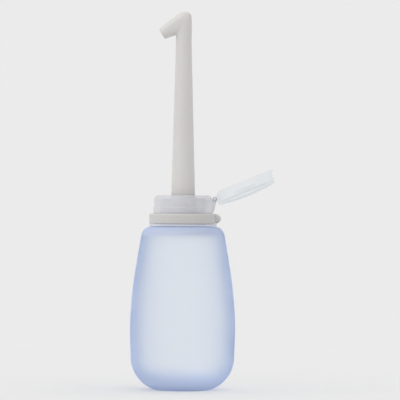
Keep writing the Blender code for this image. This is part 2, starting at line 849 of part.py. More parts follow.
def joint_empty(name, place, parent):
    """An empty on a joint's axis."""
    empty = bpy.data.objects.new(name, None)
    PARTS.objects.link(empty)
    empty.empty_display_size = EMPTY_SIZE
    empty.location = place
    bpy.context.view_layer.update()
    if parent:
        set_parent(empty, parent)
        bpy.context.view_layer.update()
    return empty


def main():
    frosted_blue = material("frosted_blue", (0.66, 0.76, 0.92), 0.5, transmission=0.5)
    off_white = material("off_white", (0.76, 0.74, 0.72), 0.45)
    milky_clear = material("milky_clear", (0.86, 0.87, 0.9), 0.35, transmission=0.3)
    soft_white = material("soft_white", (0.88, 0.88, 0.88), 0.6)
    pin_white = material("pin_white", (0.8, 0.8, 0.82), 0.4)

    bottle = make_bottle(frosted_blue)
    neck = make_neck_ring(off_white)
    gasket = make_gasket(soft_white)
    collar = make_collar(off_white)
    cap = make_cap(milky_clear)
    pin = make_pin(pin_white)
    lid = make_lid(milky_clear)
    seal = make_lid_seal(soft_white)
    nozzle = make_nozzle(off_white)
    plate = make_spray_plate(off_white)
    o_ring = make_o_ring(soft_white)
    bpy.context.view_layer.update()

    base = joint_empty("base", (0.0, 0.0, 0.0), None)
    closure_axis = joint_empty("closure_lift_axis", (0.0, 0.0, COLLAR_Z[0]), base)
    lid_axis = joint_empty("lid_hinge_axis", (HINGE_X, 0.0, HINGE_Z), closure_axis)
    nozzle_axis = joint_empty("nozzle_axis", (0.0, 0.0, SEAT_Z), closure_axis)
    for child, parent in (
        (bottle, base),
        (neck, base),
        (gasket, base),
        (collar, closure_axis),
        (cap, closure_axis),
        (pin, closure_axis),
        (lid, lid_axis),
        (seal, lid_axis),
        (nozzle, nozzle_axis),
        (plate, nozzle_axis),
        (o_ring, nozzle_axis),
    ):
        set_parent(child, parent)


main()
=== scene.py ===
"""Looks of the squeeze wash bottle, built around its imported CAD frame.

Metres, +Z up. Each piece below stands for one CAD node: it keeps that node's size and place, and
adds the round edges, fine surface and plastic that the CAD solid leaves out. Places come from the
frame's boxes and joints.
"""

import json
import math

import bmesh
import bpy
from mathutils import Matrix, Vector


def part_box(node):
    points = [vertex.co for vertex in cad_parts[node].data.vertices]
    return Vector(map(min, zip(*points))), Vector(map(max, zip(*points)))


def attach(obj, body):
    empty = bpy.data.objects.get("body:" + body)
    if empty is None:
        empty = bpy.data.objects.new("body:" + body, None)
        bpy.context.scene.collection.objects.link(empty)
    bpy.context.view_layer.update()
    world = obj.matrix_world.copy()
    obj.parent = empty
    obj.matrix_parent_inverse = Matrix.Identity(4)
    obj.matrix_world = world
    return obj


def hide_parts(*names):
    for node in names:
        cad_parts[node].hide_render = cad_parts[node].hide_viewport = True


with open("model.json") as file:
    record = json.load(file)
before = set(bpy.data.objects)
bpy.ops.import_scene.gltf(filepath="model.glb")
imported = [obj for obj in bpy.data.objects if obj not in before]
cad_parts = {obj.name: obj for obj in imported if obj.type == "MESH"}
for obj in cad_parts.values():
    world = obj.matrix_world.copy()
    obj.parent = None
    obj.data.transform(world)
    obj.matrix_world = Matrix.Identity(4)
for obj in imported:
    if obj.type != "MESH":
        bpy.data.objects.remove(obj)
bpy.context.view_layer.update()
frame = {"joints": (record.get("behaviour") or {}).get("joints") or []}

MM = 0.001

# Fineness
TURN_STEPS = 144
SMALL_TURN_STEPS = 64
DRILL_STEPS = 20
CIRCLE_STEPS = 24
DEGREES_PER_ARC_STEP = 15
FILLET_SHARE = 0.48
BEVEL_STEPS = 3
ON_AXIS = 0.001 * MM
SHARP_ANGLE = math.radians(38)

# Places that the frame gives
BOTTLE_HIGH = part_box("bottle_body")[1]
RING_LOW, RING_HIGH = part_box("neck_ring")
GASKET_LOW, GASKET_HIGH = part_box("neck_gasket")
COLLAR_LOW, COLLAR_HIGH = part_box("screw_collar")
CAP_LOW, CAP_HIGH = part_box("cap_body")
NOZZLE_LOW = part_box("nozzle_tube")[0]
O_RING_LOW, O_RING_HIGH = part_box("nozzle_o_ring")
JOINTS = {joint["name"]: joint for joint in frame["joints"]}
HINGE = Vector(JOINTS["lid_hinge"]["pos_m"])

# Bottle
BOTTLE_R = BOTTLE_HIGH.x
BOTTLE_TOP = BOTTLE_HIGH.z
BOTTLE_WALL = 3.0 * MM
BOTTLE_FLOOR = 3.5 * MM
MOUTH_R = 18.3 * MM
MOUTH_EDGE = 0.5 * MM
BASE_ELLIPSE_R = 14.2 * MM
BASE_ELLIPSE_Z = 24.0 * MM
BASE_ELLIPSE_A = 23.0 * MM
BASE_ELLIPSE_B = 24.6 * MM
BASE_STEPS = 16
FOOT_R = 15.0 * MM
FOOT_RECESS = 0.7 * MM
FOOT_ROUND = 0.6 * MM
SIDE_TOP_R = 29.8 * MM
SIDE_SHARES = ((1.0, 0.359), (0.988, 0.4786), (0.943, 0.641), (0.8715, 0.7949))
SIDE_STEPS = 7
SHOULDER_R = 7.0 * MM
SHOULDER_TILT = math.radians(9.5)
SHOULDER_STEPS = 12

# Heights between which the bottle is painted milkier and lighter at its shoulder and its base, as
# painted light that lifts the shade there
PAINTED_LIGHT_SHOULDER = (109.0 * MM, 115.5 * MM)
PAINTED_LIGHT_BASE = (12.0 * MM, 2.0 * MM)

# Neck ring
RING_R = RING_HIGH.x
RING_TOP = RING_HIGH.z
RING_BOTTOM = RING_LOW.z
RING_BARREL_R = 20.2 * MM
RING_FLANGE = (0.3 * MM, 1.9 * MM)
RING_FLANGE_ROUND = 0.5 * MM
RING_SPIGOT_R = 17.9 * MM
RING_BARB_R = 19.6 * MM
RING_BARB_DROP = 3.3 * MM
RING_BARB_DEPTH = 1.0 * MM
RING_BORE_R = 16.4 * MM
SEAT_WIDTH = 0.3 * MM
SEAT_DROP = 0.3 * MM
RING_EDGE = 0.25 * MM
GASKET_WIDTH = 1.2 * MM
GASKET_EDGE = 0.2 * MM

# Thread
THREAD_PITCH = 3.2 * MM
THREAD_TURNS = 0.85
THREAD_BEAD_R = 0.75 * MM
THREAD_START = 3.0 * MM
THREAD_LANE = 1.42 * MM
THREAD_POINTS_PER_TURN = 96
THREAD_SIDES = 16
THREAD_TAPER = 10
THREAD_END_SHARE = 0.3

# Collar
COLLAR_R = -COLLAR_LOW.x
COLLAR_THREAD_R = 21.3 * MM
COLLAR_CHAMBER_R = 23.0 * MM
COLLAR_CHAMBER_DROP = (2.8 * MM, 1.1 * MM)
COLLAR_LIP_R = 21.9 * MM
COLLAR_TOP_ROUND = 1.2 * MM
COLLAR_EDGE = 0.5 * MM
COLLAR_INNER_EDGE = 0.25 * MM
LUG_R = 3.3 * MM
LUG_WIDTH = 13.0 * MM
LUG_ROUND = 2.0 * MM
LUG_ROOT_R = 23.6 * MM

# Cap
CAP_TOP = CAP_HIGH.z
CAP_FLANGE_R = -CAP_LOW.x
CAP_FLANGE_THICK = 1.1 * MM
CAP_LOWER_R = 21.5 * MM
CAP_UPPER_R = 20.9 * MM
CAP_LEDGE_DROP = 8.6 * MM
CAP_SKIRT_DROP = 12.8 * MM
CAP_CAVITY_R = 16.6 * MM
CAP_TOP_ROUND = 3.3 * MM
CAP_PLATE = 2.2 * MM
CAP_EDGE = 0.6 * MM
CAP_SMALL_EDGE = 0.3 * MM
SOCKET_R = 8.2 * MM
SOCKET_WALL = 2.0 * MM
SOCKET_FOOT = 0.9 * MM
SEAT_R = 8.95 * MM
SEAT_DEPTH = 2.6 * MM

# Hinge
BARREL_R = 1.6 * MM
BARREL_HALF = 2.7 * MM
EAR_INSIDE = 3.0 * MM
EAR_THICK = 2.6 * MM
EAR_FOOT_Z = 127.3 * MM
EAR_FOOT_X = 22.0 * MM
EAR_ROOT_X = 19.6 * MM
EAR_EDGE = 0.35 * MM
EAR_TOP_START = -20.0
PIN_R = 0.6 * MM
PIN_HOLE_R = 0.8 * MM
PIN_HEAD_R = 1.15 * MM
PIN_HEAD = 0.6 * MM
PIN_HEAD_ROUND = 0.3 * MM
PIN_HEAD_EDGE = 0.1 * MM
PIN_EDGE = 0.2 * MM
FIT_GAP = 0.3 * MM

# Lid, in its own frame: U runs from the hinge across the lid, and W towards its open side
LID_OPEN = math.radians(22.4)
LID_R = 22.0 * MM
LID_WALL = 0.8 * MM
LID_RIM_W = 4.5 * MM
LID_EDGE_W = -5.7 * MM
LID_CROWN_W = -7.3 * MM
LID_PLATE = 1.2 * MM
LID_EDGE_ROUND = 1.6 * MM
LID_RIM_ROUND = 0.3 * MM
LID_INNER_EDGE = 0.15 * MM
LID_EDGE_END = -80.0
LID_EDGE_STEPS = 10
LINER_LEDGE_R = 20.3 * MM
LINER_LEDGE_W = -4.4 * MM
DOME_STEPS = 10
TAB_REACH = 1.4 * MM
TAB_WIDTH = 12.0 * MM
TAB_THICK = 2.2 * MM
TAB_DROP = 0.55 * MM
TAB_EDGE = 0.4 * MM
RIM_CUT_START = 0.5 * MM
RIM_CUT_LENGTH = 5.0 * MM
LINER_R = 20.9 * MM
LINER_W = (-4.1 * MM, -2.9 * MM)
STOPPER_R = 8.4 * MM
STOPPER_W = -0.4 * MM
STOPPER_ROUND = 0.8 * MM
LINER_EDGE = 0.3 * MM
LINER_BACK_EDGE = 0.2 * MM

# Nozzle
NOZZLE_SIDES = 72
STEM_FOOT_R = 8.56 * MM
STEM_FOOT_Z = 137.3 * MM
STEM_TOP_R = 5.52 * MM
STEM_TOP_Z = 250.0 * MM
STEM_RINGS = 12
STEM_FOOT_ROUND = ((0.0 * MM, 0.35 * MM), (0.12 * MM, 0.1 * MM), (0.35 * MM, 0.0 * MM))
HEAD_STEPS = 4
PLUG_R = 7.9 * MM
PLUG_ROUND = 0.7 * MM
GROOVE_R = 6.5 * MM
GROOVE_Z = (130.1 * MM, 132.0 * MM)
GROOVE_EDGE = 0.15 * MM
BORE_FOOT_R = 5.2 * MM
BORE_TOP_R = 3.4 * MM
BORE_TIP_R = 2.4 * MM
BORE_SIDES = 40
TIP_ROUND = 0.45 * MM
TIP_STEPS = 4
SEAM_HEIGHT = 0.05 * MM
SEAM_SPREAD = (0.012, 0.03)

# Head sections, each from its inside edge to its outside edge in the X-Z plane, with its
# half-width along Y and how square it is (2 is an ellipse)
HEAD_SECTIONS = (
    ((-5.60 * MM, 253.4 * MM), (5.70 * MM, 256.0 * MM), 5.6 * MM, 2.0),
    ((-5.65 * MM, 254.0 * MM), (5.70 * MM, 261.5 * MM), 5.6 * MM, 2.1),
    ((-5.75 * MM, 254.3 * MM), (5.50 * MM, 266.6 * MM), 5.6 * MM, 2.2),
    ((-5.90 * MM, 254.4 * MM), (4.60 * MM, 269.8 * MM), 5.5 * MM, 2.3),
    ((-6.15 * MM, 254.4 * MM), (2.60 * MM, 271.0 * MM), 5.5 * MM, 2.4),
    ((-6.50 * MM, 254.3 * MM), (0.00 * MM, 271.25 * MM), 5.5 * MM, 2.4),
    ((-7.10 * MM, 254.1 * MM), (-2.80 * MM, 270.3 * MM), 5.4 * MM, 2.4),
    ((-8.40 * MM, 253.7 * MM), (-6.70 * MM, 267.6 * MM), 5.2 * MM, 2.4),
    ((-10.6 * MM, 252.9 * MM), (-11.7 * MM, 263.8 * MM), 4.8 * MM, 2.3),
    ((-12.7 * MM, 252.1 * MM), (-15.9 * MM, 260.6 * MM), 4.5 * MM, 2.2),
    ((-13.8 * MM, 251.9 * MM), (-18.0 * MM, 258.8 * MM), 4.2 * MM, 2.0),
)
BORE_BEND = (
    (0.0 * MM, 256.5 * MM),
    (-0.5 * MM, 259.3 * MM),
    (-2.0 * MM, 261.4 * MM),
    (-4.4 * MM, 262.0 * MM),
)
PLATE_R = 2.9 * MM
PLATE_THICK = 1.2 * MM
PLATE_POCKET_R = 3.2 * MM
PLATE_POCKET = 1.6 * MM
PLATE_EDGE = 0.2 * MM
SPRAY_HOLE_R = 0.38 * MM
SPRAY_RING_R = 1.75 * MM
SPRAY_HOLES = 6

# Past the faces that a cutter leaves through
OVERCUT = 2.0 * MM

# Camera
CAMERA_DISTANCE = 2.2
CAMERA_X = 12.1 * MM
CAMERA_Z = 136.2 * MM
CAMERA_LENS = 275.7
CAMERA_ROLL = math.radians(-0.25)

# Light. The floor's tint is set so that it shows as bright as the studio round it.
STUDIO_LEVEL = 0.831
STUDIO_TINT = (1.0, 1.0, 1.0)
KEY_STRENGTH = 1.0
KEY_ELEVATION = math.radians(50)
KEY_AZIMUTH = math.radians(-54)
KEY_SPREAD = math.radians(60)
FLOOR_VARIATION = 0.006
FLOOR_HALF = 60.0
FLOOR_STEPS = 24


# Mesh tools


def make_object(name, shape):
    """An object from a bmesh, shaded smooth with sharp edges where the faces turn a lot."""
    bmesh.ops.recalc_face_normals(shape, faces=shape.faces)
    mesh = bpy.data.meshes.new(name)
    shape.to_mesh(mesh)
    shape.free()
    mesh.shade_smooth()
    mesh.set_sharp_from_angle(angle=SHARP_ANGLE)
    ob = bpy.data.objects.new(name, mesh)
    bpy.context.scene.collection.objects.link(ob)
    return ob


def rounded(corners, closed=False):
    """Corners (radius, height, fillet) as points, with an arc at each filleted corner."""
    points = []
    last = len(corners) - 1
    for i, (radius, height, fillet) in enumerate(corners):
        here = Vector((radius, height))
        if not fillet or (not closed and i in (0, last)):
            points.append(here)
            continue
        back = Vector(corners[i - 1][:2]) - here
        on = Vector(corners[(i + 1) % len(corners)][:2]) - here
        half = back.angle(on) / 2
        longest = FILLET_SHARE * min(back.length, on.length)
        reach = min(fillet / math.tan(half), longest)
        middle = (back.normalized() + on.normalized()).normalized()
        centre = here + middle * (reach / math.cos(half))
        start = here + back.normalized() * reach - centre
        end = here + on.normalized() * reach - centre
        steps = max(2, round(math.degrees(start.angle(end)) / DEGREES_PER_ARC_STEP))
        turned = [start.slerp(end, k / steps) for k in range(steps + 1)]
        points += [centre + start.length * way for way in turned]
    return points


def arc(centre, radius, start, end, steps):
    """Points of an arc in a turned outline, from one angle to another in degrees."""
    turns = [math.radians(start + (end - start) * k / steps) for k in range(steps + 1)]
    return [Vector(centre) + radius * Vector((math.cos(t), math.sin(t))) for t in turns]


def bridge(shape, rings):
    """Faces between neighbouring rings, where a ring of one point is a pole."""
    for lower, upper in zip(rings, rings[1:]):
        for i in range(max(len(lower), len(upper))):
            j = i + 1
            loop = [
                lower[i % len(lower)],
                lower[j % len(lower)],
                upper[j % len(upper)],
                upper[i % len(upper)],
            ]
            shape.faces.new(list(dict.fromkeys(loop)))


def lathe(name, points, closed=False, steps=TURN_STEPS, matrix=None):
    """A turned shape about Z from (radius, height) points. An open outline ends on the axis."""
    shape = bmesh.new()
    rings = []
    for radius, height in points:
        if radius < ON_AXIS:
            rings.append([shape.verts.new((0.0, 0.0, height))])
            continue
        turns = [2 * math.pi * i / steps for i in range(steps)]
        rings.append(
            [shape.verts.new((radius * math.cos(t), radius * math.sin(t), height)) for t in turns]
        )
    bridge(shape, rings + rings[:1] if closed else rings)
    if matrix is not None:
        shape.transform(matrix)
    return make_object(name, shape)


def rod(name, radius, length, matrix, steps=SMALL_TURN_STEPS):
    """A round rod along the matrix's Z, centred on it."""
    half = length / 2
    outline = [(0, half), (radius, half), (radius, -half), (0, -half)]
    return lathe(name, outline, False, steps, matrix)


def loft(name, rings):
    """A closed solid through rings of equally many points, with its two ends filled."""
    shape = bmesh.new()
    rows = [[shape.verts.new(point) for point in ring] for ring in rings]
    bridge(shape, rows)
    shape.faces.new(rows[0])
    shape.faces.new(rows[-1])
    return make_object(name, shape)


def sweep(name, points, radii, sides, upright):
    """A round tube through points, with a radius at each and its sides set out from upright."""
    rings = []
    for i, (point, radius) in enumerate(zip(points, radii)):
        before = points[max(i - 1, 0)]
        after = points[min(i + 1, len(points) - 1)]
        along = (after - before).normalized()
        first = (upright - along * upright.dot(along)).normalized()
        second = along.cross(first)
        turns = [2 * math.pi * k / sides for k in range(sides)]
        rings.append(
            [point + radius * (math.cos(t) * first + math.sin(t) * second) for t in turns]
        )
    return loft(name, rings)


def prism(name, outline, half_width, edge, matrix=None):
    """A flat (X, Z) outline with thickness along Y and rounded edges."""
    shape = bmesh.new()
    near = [shape.verts.new((x, -half_width, z)) for x, z in outline]
    far = [shape.verts.new((x, half_width, z)) for x, z in outline]
    bridge(shape, [near, far])
    shape.faces.new(near)
    shape.faces.new(far)
    if matrix is not None:
        shape.transform(matrix)
    ob = make_object(name, shape)
    if edge:
        bevel = ob.modifiers.new("edges", "BEVEL")
        bevel.width = edge
        bevel.segments = BEVEL_STEPS
        bevel.limit_method = "ANGLE"
        bevel.angle_limit = SHARP_ANGLE
        settle(ob)
    return ob


def settle(ob):
    """Applies an object's modifiers and shades it smooth again."""
    graph = bpy.context.evaluated_depsgraph_get()
    mesh = bpy.data.meshes.new_from_object(ob.evaluated_get(graph))
    ob.modifiers.clear()
    ob.data = mesh
    mesh.shade_smooth()
    mesh.set_sharp_from_angle(angle=SHARP_ANGLE)


def carve(ob, tool, operation="DIFFERENCE"):
    """Cuts a tool from an object, or joins it on, and removes the tool."""
    step = ob.modifiers.new("carve", "BOOLEAN")
    step.operation = operation
    step.solver = "EXACT"
    step.object = tool
    settle(ob)
    bpy.data.objects.remove(tool, do_unlink=True)


def along_y(place):
    """A matrix that stands a lathe's axis along Y at a point."""
    return Matrix.Translation(place) @ Matrix.Rotation(math.pi / 2, 4, "X")


def lets_light_in(ob):
    """Makes a translucent piece cast no hard shadow, so the key light reaches what is in it."""
    ob.visible_shadow = False
    return ob


def finished(ob, body, node, surface):
    """Gives a piece its material and its body, and hides the CAD node it stands for."""
    ob.data.materials.clear()
    ob.data.materials.append(surface)
    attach(ob, body)
    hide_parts(node)
    return ob


# Materials


class Surface:
    """A procedural material on a Principled BSDF, in the object's own metres."""

    def __init__(self, name, roughness, ior, **sockets):
        self.material = bpy.data.materials.new(name)
        self.material.use_nodes = True
        self.tree = self.material.node_tree
        self.shader = self.tree.nodes["Principled BSDF"]
        self.shader.inputs["Roughness"].default_value = roughness
        self.shader.inputs["IOR"].default_value = ior
        for socket, value in sockets.items():
            self.shader.inputs[socket.replace("_", " ")].default_value = value
        self.place = self.tree.nodes.new("ShaderNodeTexCoord").outputs["Object"]

    def link(self, start, end):
        """Joins an output to an input."""
        self.tree.links.new(start, end)

    def noise(self, size, detail=2.0, roughness=0.5, stretch=(1.0, 1.0, 1.0)):
        """Noise whose lumps are about this many metres across."""
        mapping = self.tree.nodes.new("ShaderNodeMapping")
        mapping.inputs["Scale"].default_value = stretch
        self.link(self.place, mapping.inputs["Vector"])
        made = self.tree.nodes.new("ShaderNodeTexNoise")
        made.inputs["Scale"].default_value = 1 / size
        made.inputs["Detail"].default_value = detail
        made.inputs["Roughness"].default_value = roughness
        self.link(mapping.outputs["Vector"], made.inputs["Vector"])
        return made.outputs["Fac"]

    def spread(self, value, low, high, start=0.3, end=0.7):
        """A value's range, by default a noise's usual one, mapped to another."""
        node = self.tree.nodes.new("ShaderNodeMapRange")
        node.inputs["From Min"].default_value = start
        node.inputs["From Max"].default_value = end
        node.inputs["To Min"].default_value = low
        node.inputs["To Max"].default_value = high
        self.link(value, node.inputs["Value"])
        return node.outputs["Result"]

    def blend(self, value, first, second):
        """A colour between two, by a value. The first may come from another node."""
        node = self.tree.nodes.new("ShaderNodeMix")
        node.data_type = "RGBA"
        if isinstance(first, tuple):
            node.inputs["A"].default_value = (*first, 1.0)
        else:
            self.link(first, node.inputs["A"])
        node.inputs["B"].default_value = (*second, 1.0)
        self.link(value, node.inputs["Factor"])
        return node.outputs["Result"]

    def beyond(self, start, end, other=None):
        """How far past a height the place is, from 0 at start to 1 at end, or the larger of two."""
        split = self.tree.nodes.new("ShaderNodeSeparateXYZ")
        self.link(self.place, split.inputs["Vector"])
        share = self.spread(split.outputs["Z"], 0.0, 1.0, start, end)
        if other is None:
            return share
        larger = self.tree.nodes.new("ShaderNodeMath")
        larger.operation = "MAXIMUM"
        self.link(share, larger.inputs[0])
        self.link(other, larger.inputs[1])
        return larger.outputs["Value"]

    def colour(self, value, first, second):
        """A base colour that drifts between two by a noise value."""
        mixed = self.blend(self.spread(value, 0.0, 1.0), first, second)
        self.link(mixed, self.shader.inputs["Base Color"])

    def gloss(self, value, low, high):
        """A roughness that drifts between two by a noise value."""
        self.link(self.spread(value, low, high), self.shader.inputs["Roughness"])

    def bumps(self, *layers):
        """Bumps from noise values, each with its height in metres."""
        last = None
        for value, height in layers:
            node = self.tree.nodes.new("ShaderNodeBump")
            node.inputs["Strength"].default_value = 1.0
            node.inputs["Distance"].default_value = height
            self.link(value, node.inputs["Height"])
            if last:
                self.link(last, node.inputs["Normal"])
            last = node.outputs["Normal"]
        self.link(last, self.shader.inputs["Normal"])

    def absorb(self, tint, density):
        """Plain absorption inside the piece."""
        volume = self.tree.nodes.new("ShaderNodeVolumeAbsorption")
        volume.inputs["Color"].default_value = (*tint, 1.0)
        volume.inputs["Density"].default_value = density
        self.link(volume.outputs["Volume"], self.tree.nodes["Material Output"].inputs["Volume"])


def frosted_blue():
    """Soft frosted silicone: it blurs what is behind it, is painted milkier and lighter at its
    shoulder and its base, painted light that lifts the shade there, and has a blue haze towards its
    edges. Its index is set below that of silicone.
    """
    made = Surface(
        "bottle_silicone",
        0.35,
        1.22,
        Transmission_Weight=1.0,
        Sheen_Weight=0.6,
        Sheen_Roughness=0.5,
        Sheen_Tint=(0.44, 0.58, 1.0, 1.0),
    )
    # Painted light: the shoulder and the base are painted milkier and lighter, to lift the shade
    # that falls there
    painted_light = made.beyond(*PAINTED_LIGHT_SHOULDER, made.beyond(*PAINTED_LIGHT_BASE))
    see_through = made.spread(painted_light, 1.0, 0.45, 0.0, 1.0)
    made.link(see_through, made.shader.inputs["Transmission Weight"])
    cloud = made.spread(made.noise(14 * MM, 3.0), 0.0, 1.0)
    clear = made.blend(cloud, (1.0, 1.0, 1.0), (0.985, 0.99, 1.0))
    made.link(made.blend(painted_light, clear, (0.74, 0.8, 0.93)), made.shader.inputs["Base Color"])
    made.gloss(made.noise(9 * MM, 3.0), 0.31, 0.39)
    made.bumps((made.noise(0.45 * MM), 0.02 * MM), (made.noise(5 * MM), 0.06 * MM))
    made.absorb((0.0, 0.48, 0.98), 17.5)
    return made.material


def off_white(name, first, second, grain):
    """Satin moulded plastic, a little translucent, with a fine spark-eroded grain."""
    made = Surface(
        name,
        0.42,
        1.49,
        Subsurface_Weight=0.25,
        Subsurface_Radius=(1.0, 0.8, 0.7),
        Subsurface_Scale=1.5 * MM,
    )
    flow = made.noise(20 * MM, 4.0, 0.55, (1.0, 1.0, 0.35))
    made.colour(flow, first, second)
    made.gloss(made.noise(6 * MM, 4.0), 0.36, 0.48)
    made.bumps((made.noise(grain), 0.012 * MM), (made.noise(8 * MM), 0.05 * MM))
    return made.material


def milky_cap():
    """Milky polypropylene in thick walls: the socket inside it shows as a soft darker core."""
    made = Surface("milky_cap", 0.35, 1.49, Alpha=0.5)
    made.colour(made.noise(12 * MM, 3.0), (0.74, 0.74, 0.775), (0.71, 0.71, 0.75))
    made.gloss(made.noise(7 * MM, 4.0), 0.3, 0.4)
    made.bumps((made.noise(0.5 * MM), 0.01 * MM), (made.noise(7 * MM), 0.05 * MM))
    return made.material


def clear_lid():
    """The same plastic in a thin wall: nearly clear, with a soft sheen from its coat. Its index
    is 1, because a higher one gave a dark line along the lid's edge.
    """
    made = Surface(
        "milky_lid",
        0.02,
        1.0,
        Transmission_Weight=1.0,
        Coat_Weight=0.5,
        Coat_Roughness=0.32,
    )
    made.colour(made.noise(12 * MM, 3.0), (0.975, 0.985, 0.993), (0.96, 0.972, 0.985))
    made.gloss(made.noise(5 * MM, 4.0), 0.0, 0.04)
    made.bumps((made.noise(6 * MM), 0.04 * MM))
    made.absorb((0.2, 0.4, 0.55), 10.0)
    return made.material


def ring_white_painted_blue():
    """The neck ring's plastic, thin enough to pass some light down into the shoulder. Its white is
    tinted blue as painted light, the blue light that the bottle throws on it.
    """
    made = Surface("ring_white_painted_blue", 0.4, 1.49, Alpha=0.6)
    # Whites tinted blue: painted light from the blue bottle beside the ring
    made.colour(made.noise(10 * MM, 3.0), (0.82, 0.84, 0.92), (0.78, 0.8, 0.88))
    made.gloss(made.noise(4 * MM, 3.0), 0.34, 0.46)
    made.bumps((made.noise(0.4 * MM), 0.01 * MM), (made.noise(6 * MM), 0.04 * MM))
    return made.material


def soft_white():
    """Soft white silicone rubber with a dull, slightly dusty skin."""
    made = Surface("soft_white", 0.6, 1.41)
    made.colour(made.noise(5 * MM, 4.0), (0.88, 0.89, 0.9), (0.83, 0.84, 0.85))
    made.gloss(made.noise(3 * MM, 3.0), 0.5, 0.68)
    made.bumps((made.noise(0.3 * MM), 0.01 * MM))
    return made.material


def clear_silicone():
    """The liner's silicone, clear in a thin sheet and greyer seen along it, with index 1 too."""
    made = Surface("clear_silicone", 0.03, 1.0, Transmission_Weight=1.0)
    made.colour(made.noise(5 * MM, 4.0), (0.985, 0.99, 0.995), (0.97, 0.975, 0.98))
    made.gloss(made.noise(3 * MM, 3.0), 0.0, 0.05)
    made.bumps((made.noise(4 * MM), 0.02 * MM))
    made.absorb((0.3, 0.4, 0.5), 6.0)
    return made.material


def floor_paper(albedo):
    """Pale matt studio paper."""
    made = Surface("studio_paper", 0.9, 1.3, Specular_IOR_Level=0.0)
    light = (min(1.0, albedo * (1 + FLOOR_VARIATION)),) * 3
    dark = (albedo * (1 - FLOOR_VARIATION),) * 3
    made.colour(made.noise(40 * MM, 4.0), light, dark)
    return made.material


# Bottle


def bottle_outline():
    """The bottle's outside from the edge of its flat base up to the edge of its mouth."""
    lowest = math.acos(BASE_ELLIPSE_Z / BASE_ELLIPSE_B)
    corner = []
    for i in range(BASE_STEPS + 1):
        turn = lowest + (math.pi / 2 - lowest) * i / BASE_STEPS
        across = BASE_ELLIPSE_R + BASE_ELLIPSE_A * math.sin(turn)
        corner.append(Vector((across, BASE_ELLIPSE_Z - BASE_ELLIPSE_B * math.cos(turn))))
    centre = (SIDE_TOP_R - SHOULDER_R * math.cos(SHOULDER_TILT), BOTTLE_TOP - SHOULDER_R)
    shoulder = arc(centre, SHOULDER_R, math.degrees(SHOULDER_TILT), 90.0, SHOULDER_STEPS)
    stations = [Vector((across * BOTTLE_R, up * BOTTLE_TOP)) for across, up in SIDE_SHARES]
    side = [corner[-1], *stations, shoulder[0]]
    below = Vector((side[1].x, 2 * side[0].y - side[1].y))
    reach = 2 * (side[-1] - side[-2]).length
    lean = Vector((-math.sin(SHOULDER_TILT), math.cos(SHOULDER_TILT)))
    above = side[-2] + lean * reach
    return corner[:-1] + smooth_through([below, *side, above], SIDE_STEPS) + shoulder[1:]


def smooth_through(points, steps):
    """A Catmull-Rom curve through all points but the first and the last, which steer its ends."""
    found = []
    for before, start, end, after in zip(points, points[1:], points[2:], points[3:]):
        for i in range(steps):
            t = i / steps
            found.append(
                0.5
                * (
                    2 * start
                    + (end - before) * t
                    + (2 * before - 5 * start + 4 * end - after) * t**2
                    + (3 * start - before - 3 * end + after) * t**3
                )
            )
    found.append(points[-2])
    return found


def inset(outline, depth):
    """An outline moved inwards, square to itself."""
    found = []
    last = len(outline) - 1
    for i, here in enumerate(outline):
        run = (outline[min(i + 1, last)] - outline[max(i - 1, 0)]).normalized()
        found.append(here + depth * Vector((-run.y, run.x)))
    return found


def make_bottle(surface):
    """The soft bottle: a hollow shell with a recessed foot and an open mouth."""
    outside = bottle_outline()
    cavity = inset(outside, BOTTLE_WALL)
    inside = [p for p in cavity if p.y > BOTTLE_FLOOR and p.x > MOUTH_R]
    floor_edge = Vector((BASE_ELLIPSE_R, BOTTLE_FLOOR))
    under = BOTTLE_TOP - BOTTLE_WALL
    mouth = rounded(
        [
            (inside[-1].x, under, 0),
            (MOUTH_R, under, MOUTH_EDGE),
            (MOUTH_R, BOTTLE_TOP, MOUTH_EDGE),
            (outside[-1].x, BOTTLE_TOP, 0),
        ]
    )
    foot = rounded(
        [
            (outside[0].x, 0.0, 0),
            (FOOT_R, 0.0, FOOT_ROUND),
            (FOOT_R - FOOT_RECESS, FOOT_RECESS, FOOT_ROUND),
            (0.0, FOOT_RECESS, 0),
        ]
    )
    profile = [Vector((0.0, BOTTLE_FLOOR)), floor_edge, *inside, *mouth[1:-1]]
    profile += [*reversed(outside), *foot[1:]]
    bottle = lets_light_in(lathe("soft_bottle", profile))
    return finished(bottle, "bottle", "bottle_body", surface)


# Neck ring, collar and thread


def thread_bead(name, radius, lane_below=0.0):
    """A round bead wound on a cylinder, which sinks into it at both ends."""
    count = round(THREAD_TURNS * THREAD_POINTS_PER_TURN)
    begin = 2 * math.pi * lane_below / THREAD_PITCH
    points = []
    radii = []
    for i in range(count + 1):
        turn = begin + 2 * math.pi * i / THREAD_POINTS_PER_TURN
        height = BOTTLE_TOP + THREAD_START + THREAD_PITCH * i / THREAD_POINTS_PER_TURN
        points.append(Vector((radius * math.cos(turn), radius * math.sin(turn), height)))
        risen = math.sqrt(min(1.0, min(i, count - i) / THREAD_TAPER))
        radii.append(THREAD_BEAD_R * (THREAD_END_SHARE + (1 - THREAD_END_SHARE) * risen))
    return sweep(name, points, radii, THREAD_SIDES, Vector((0.0, 0.0, 1.0)))


